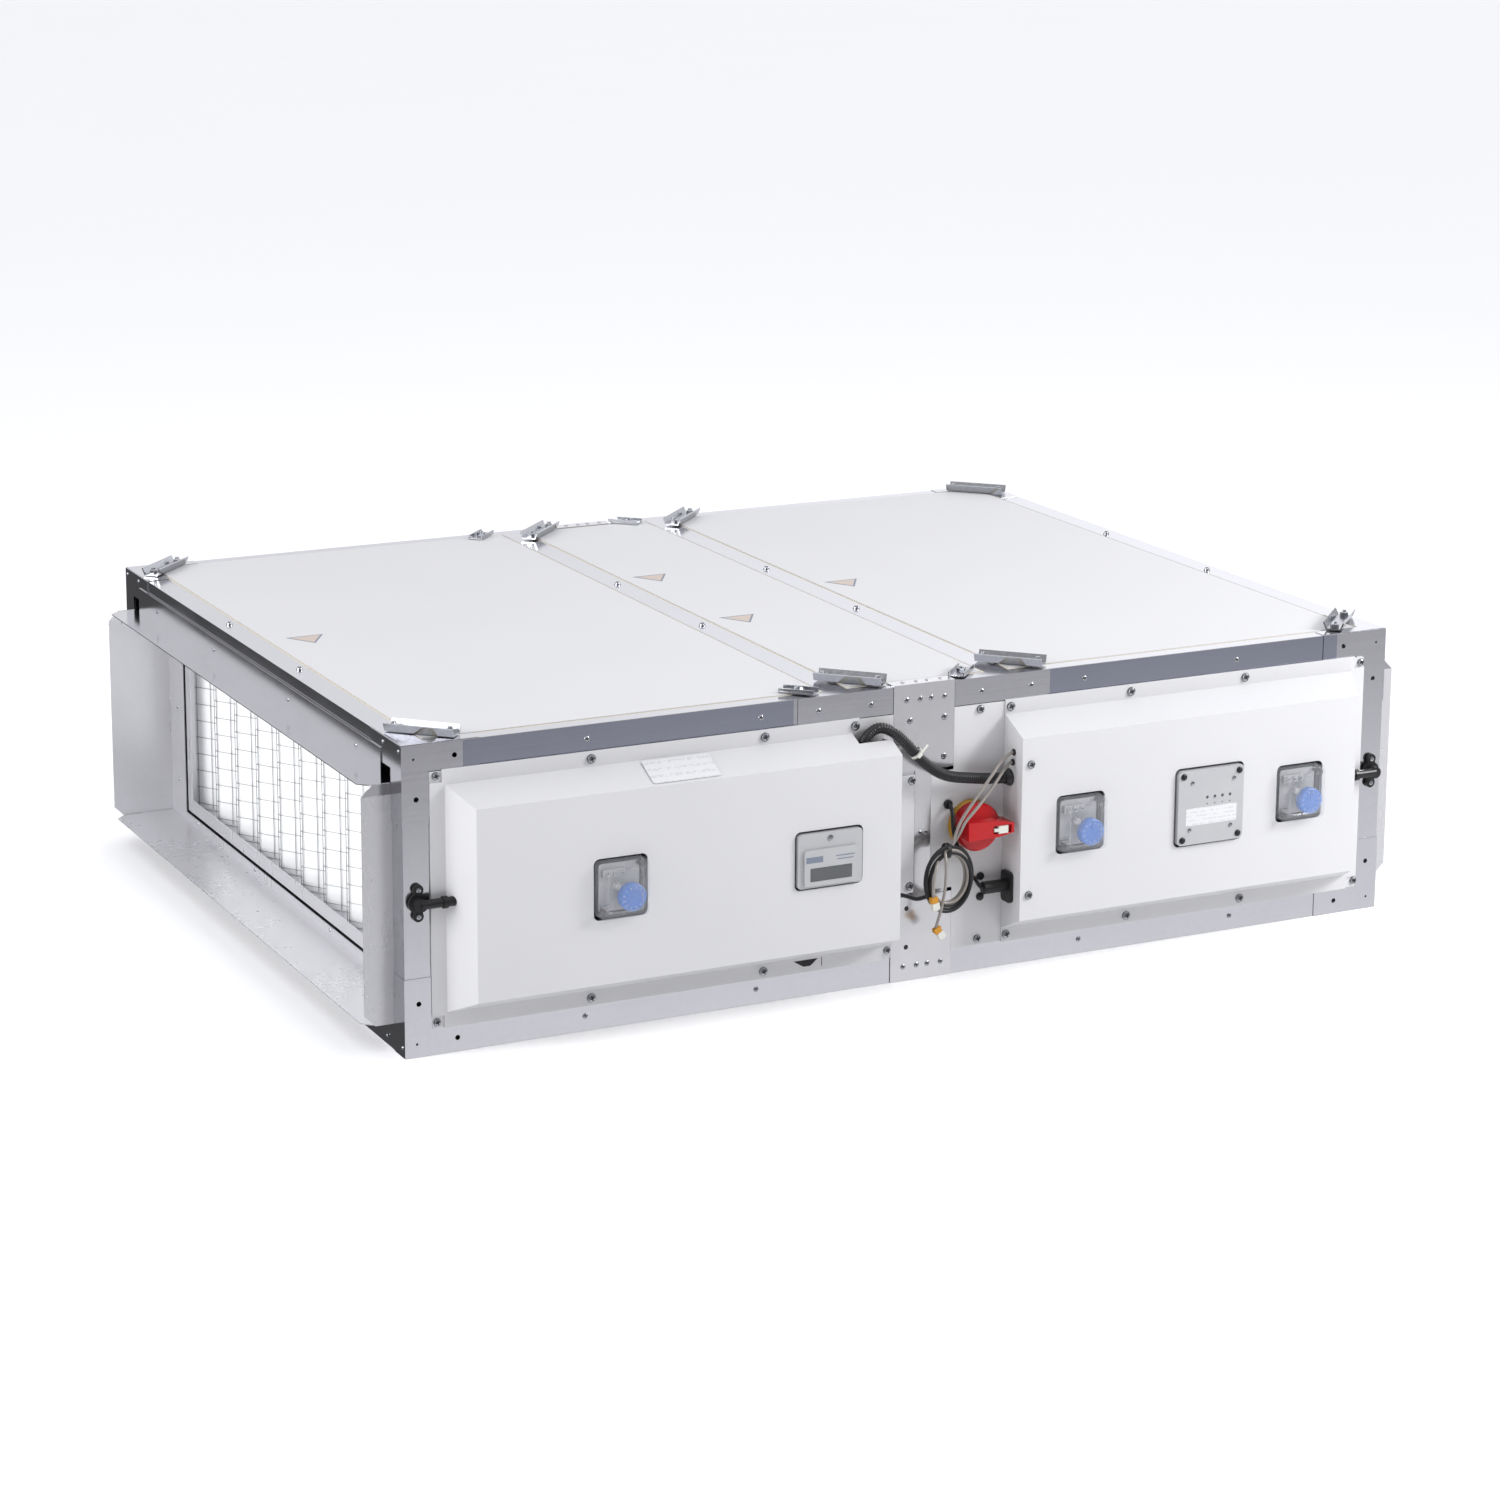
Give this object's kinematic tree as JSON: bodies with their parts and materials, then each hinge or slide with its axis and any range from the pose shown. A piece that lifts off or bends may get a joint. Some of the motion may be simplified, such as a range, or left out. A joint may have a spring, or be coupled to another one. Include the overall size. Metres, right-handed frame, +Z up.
{
  "type": "ceiling heat recovery ventilation unit",
  "caption": "Low rectangular heat recovery ventilation unit with a metal frame, clamped lids, bevelled control covers in front and a rectangular duct collar at each end.",
  "frame": {"origin": "on the underside, at the middle of the footprint", "axes": "+X from the filter end to the other duct end, +Y from the control covers to the back, +Z up to the lids"},
  "size_m": [1.53, 1.188, 0.4133],
  "materials": {
    "galvanised": "galvanised sheet, satin",
    "white_paint": "fine white powder coat",
    "foam": "open foam strip",
    "filter_media": "pleated non-woven",
    "black_plastic": "moulded, satin",
    "black_cable": "smooth sheath",
    "grey_cable": "smooth sheath",
    "grey_plastic": "moulded, satin",
    "clear_plastic": "clear, moulded",
    "blue_plastic": "moulded, gloss",
    "red_plastic": "moulded, gloss",
    "yellow_plastic": "moulded, gloss",
    "white_plastic": "moulded, gloss",
    "core_plastic": "thin moulded plates",
    "dark_metal": "dark satin",
    "bright_steel": "bright zinc plate"
  },
  "bodies": {
    "casing": {"left_frame": "galvanised", "right_frame": "galvanised", "front_joint_plate": "galvanised", "back_joint_plate": "galvanised", "left_collar": "galvanised", "right_collar": "galvanised", "fan_wall": "galvanised", "exchanger_housing": "galvanised", "left_lid": "white_paint", "middle_lid": "white_paint", "right_lid": "white_paint", "front_panel_left": "white_paint", "front_panel_right": "white_paint", "back_panel_left": "white_paint", "back_panel_right": "white_paint", "bottom_panel_left": "white_paint", "bottom_panel_right": "white_paint", "left_cover": "white_paint", "right_cover": "white_paint", "left_gasket": "foam", "middle_gasket": "foam", "right_gasket": "foam", "filter_cassette": "filter_media", "supply_fan_motor": "dark_metal", "extract_fan_motor": "dark_metal", "exchanger_core": "core_plastic", "condensate_tray": "black_plastic", "left_tap": "black_plastic", "right_tap": "black_plastic", "side_tap": "black_plastic", "conduit": "black_plastic", "black_lead": "black_cable", "black_tail": "black_cable", "cable_coil": "black_cable", "grey_lead_1": "grey_cable", "grey_lead_2": "grey_cable", "grey_tail_1": "white_plastic", "grey_tail_2": "white_plastic", "pressure_switch_1": "clear_plastic", "pressure_switch_2": "clear_plastic", "pressure_switch_3": "clear_plastic", "display_controller": "grey_plastic", "lamp_box": "grey_plastic", "isolator_base": "yellow_plastic", "clamp_left_front": "bright_steel", "clamp_left_back": "bright_steel", "clamp_middle_front": "bright_steel", "clamp_middle_back": "bright_steel", "clamp_right_front": "bright_steel", "clamp_right_back": "bright_steel", "clamp_end_front": "bright_steel", "clamp_end_back": "bright_steel"},
    "supply_impeller": {"supply_fan_impeller": "dark_metal"},
    "extract_impeller": {"extract_fan_impeller": "dark_metal"},
    "bypass_damper": {"bypass_blade": "galvanised"},
    "switch_handle": {"isolator_handle": "red_plastic"},
    "padlock_slider": {"padlock_slide": "white_plastic"},
    "setting_dial_1": {"dial_1": "blue_plastic"},
    "setting_dial_2": {"dial_2": "blue_plastic"},
    "setting_dial_3": {"dial_3": "blue_plastic"}
  },
  "joints": [
    {"name": "main_switch_turn", "type": "hinge", "parent": "casing", "child": "switch_handle", "pos_m": [0.071, -0.5298, 0.204], "axis": [0, 1, 0], "range_deg": [0, 90]},
    {"name": "padlock_slider_travel", "type": "slide", "parent": "switch_handle", "child": "padlock_slider", "axis": [1, 0, 0], "range_m": [0, 0.005]},
    {"name": "supply_fan_spin", "type": "hinge", "parent": "casing", "child": "supply_impeller", "pos_m": [-0.373, -0.253, 0.18675], "axis": [1, 0, 0], "continuous": true},
    {"name": "extract_fan_spin", "type": "hinge", "parent": "casing", "child": "extract_impeller", "pos_m": [-0.373, 0.297, 0.18675], "axis": [1, 0, 0], "continuous": true},
    {"name": "bypass_damper_turn", "type": "hinge", "parent": "casing", "child": "bypass_damper", "pos_m": [0.25065, -0.11235, 0.0359], "axis": [0.7071, -0.7071, 0], "range_deg": [0, 90]},
    {"name": "dial_1_turn", "type": "hinge", "parent": "casing", "child": "setting_dial_1", "pos_m": [-0.443, -0.5773, 0.188], "axis": [0, -1, 0], "range_deg": [-135, 135]},
    {"name": "dial_2_turn", "type": "hinge", "parent": "casing", "child": "setting_dial_2", "pos_m": [0.223, -0.5773, 0.188], "axis": [0, -1, 0], "range_deg": [-135, 135]},
    {"name": "dial_3_turn", "type": "hinge", "parent": "casing", "child": "setting_dial_3", "pos_m": [0.569, -0.5773, 0.188], "axis": [0, -1, 0], "range_deg": [-135, 135]}
  ]
}
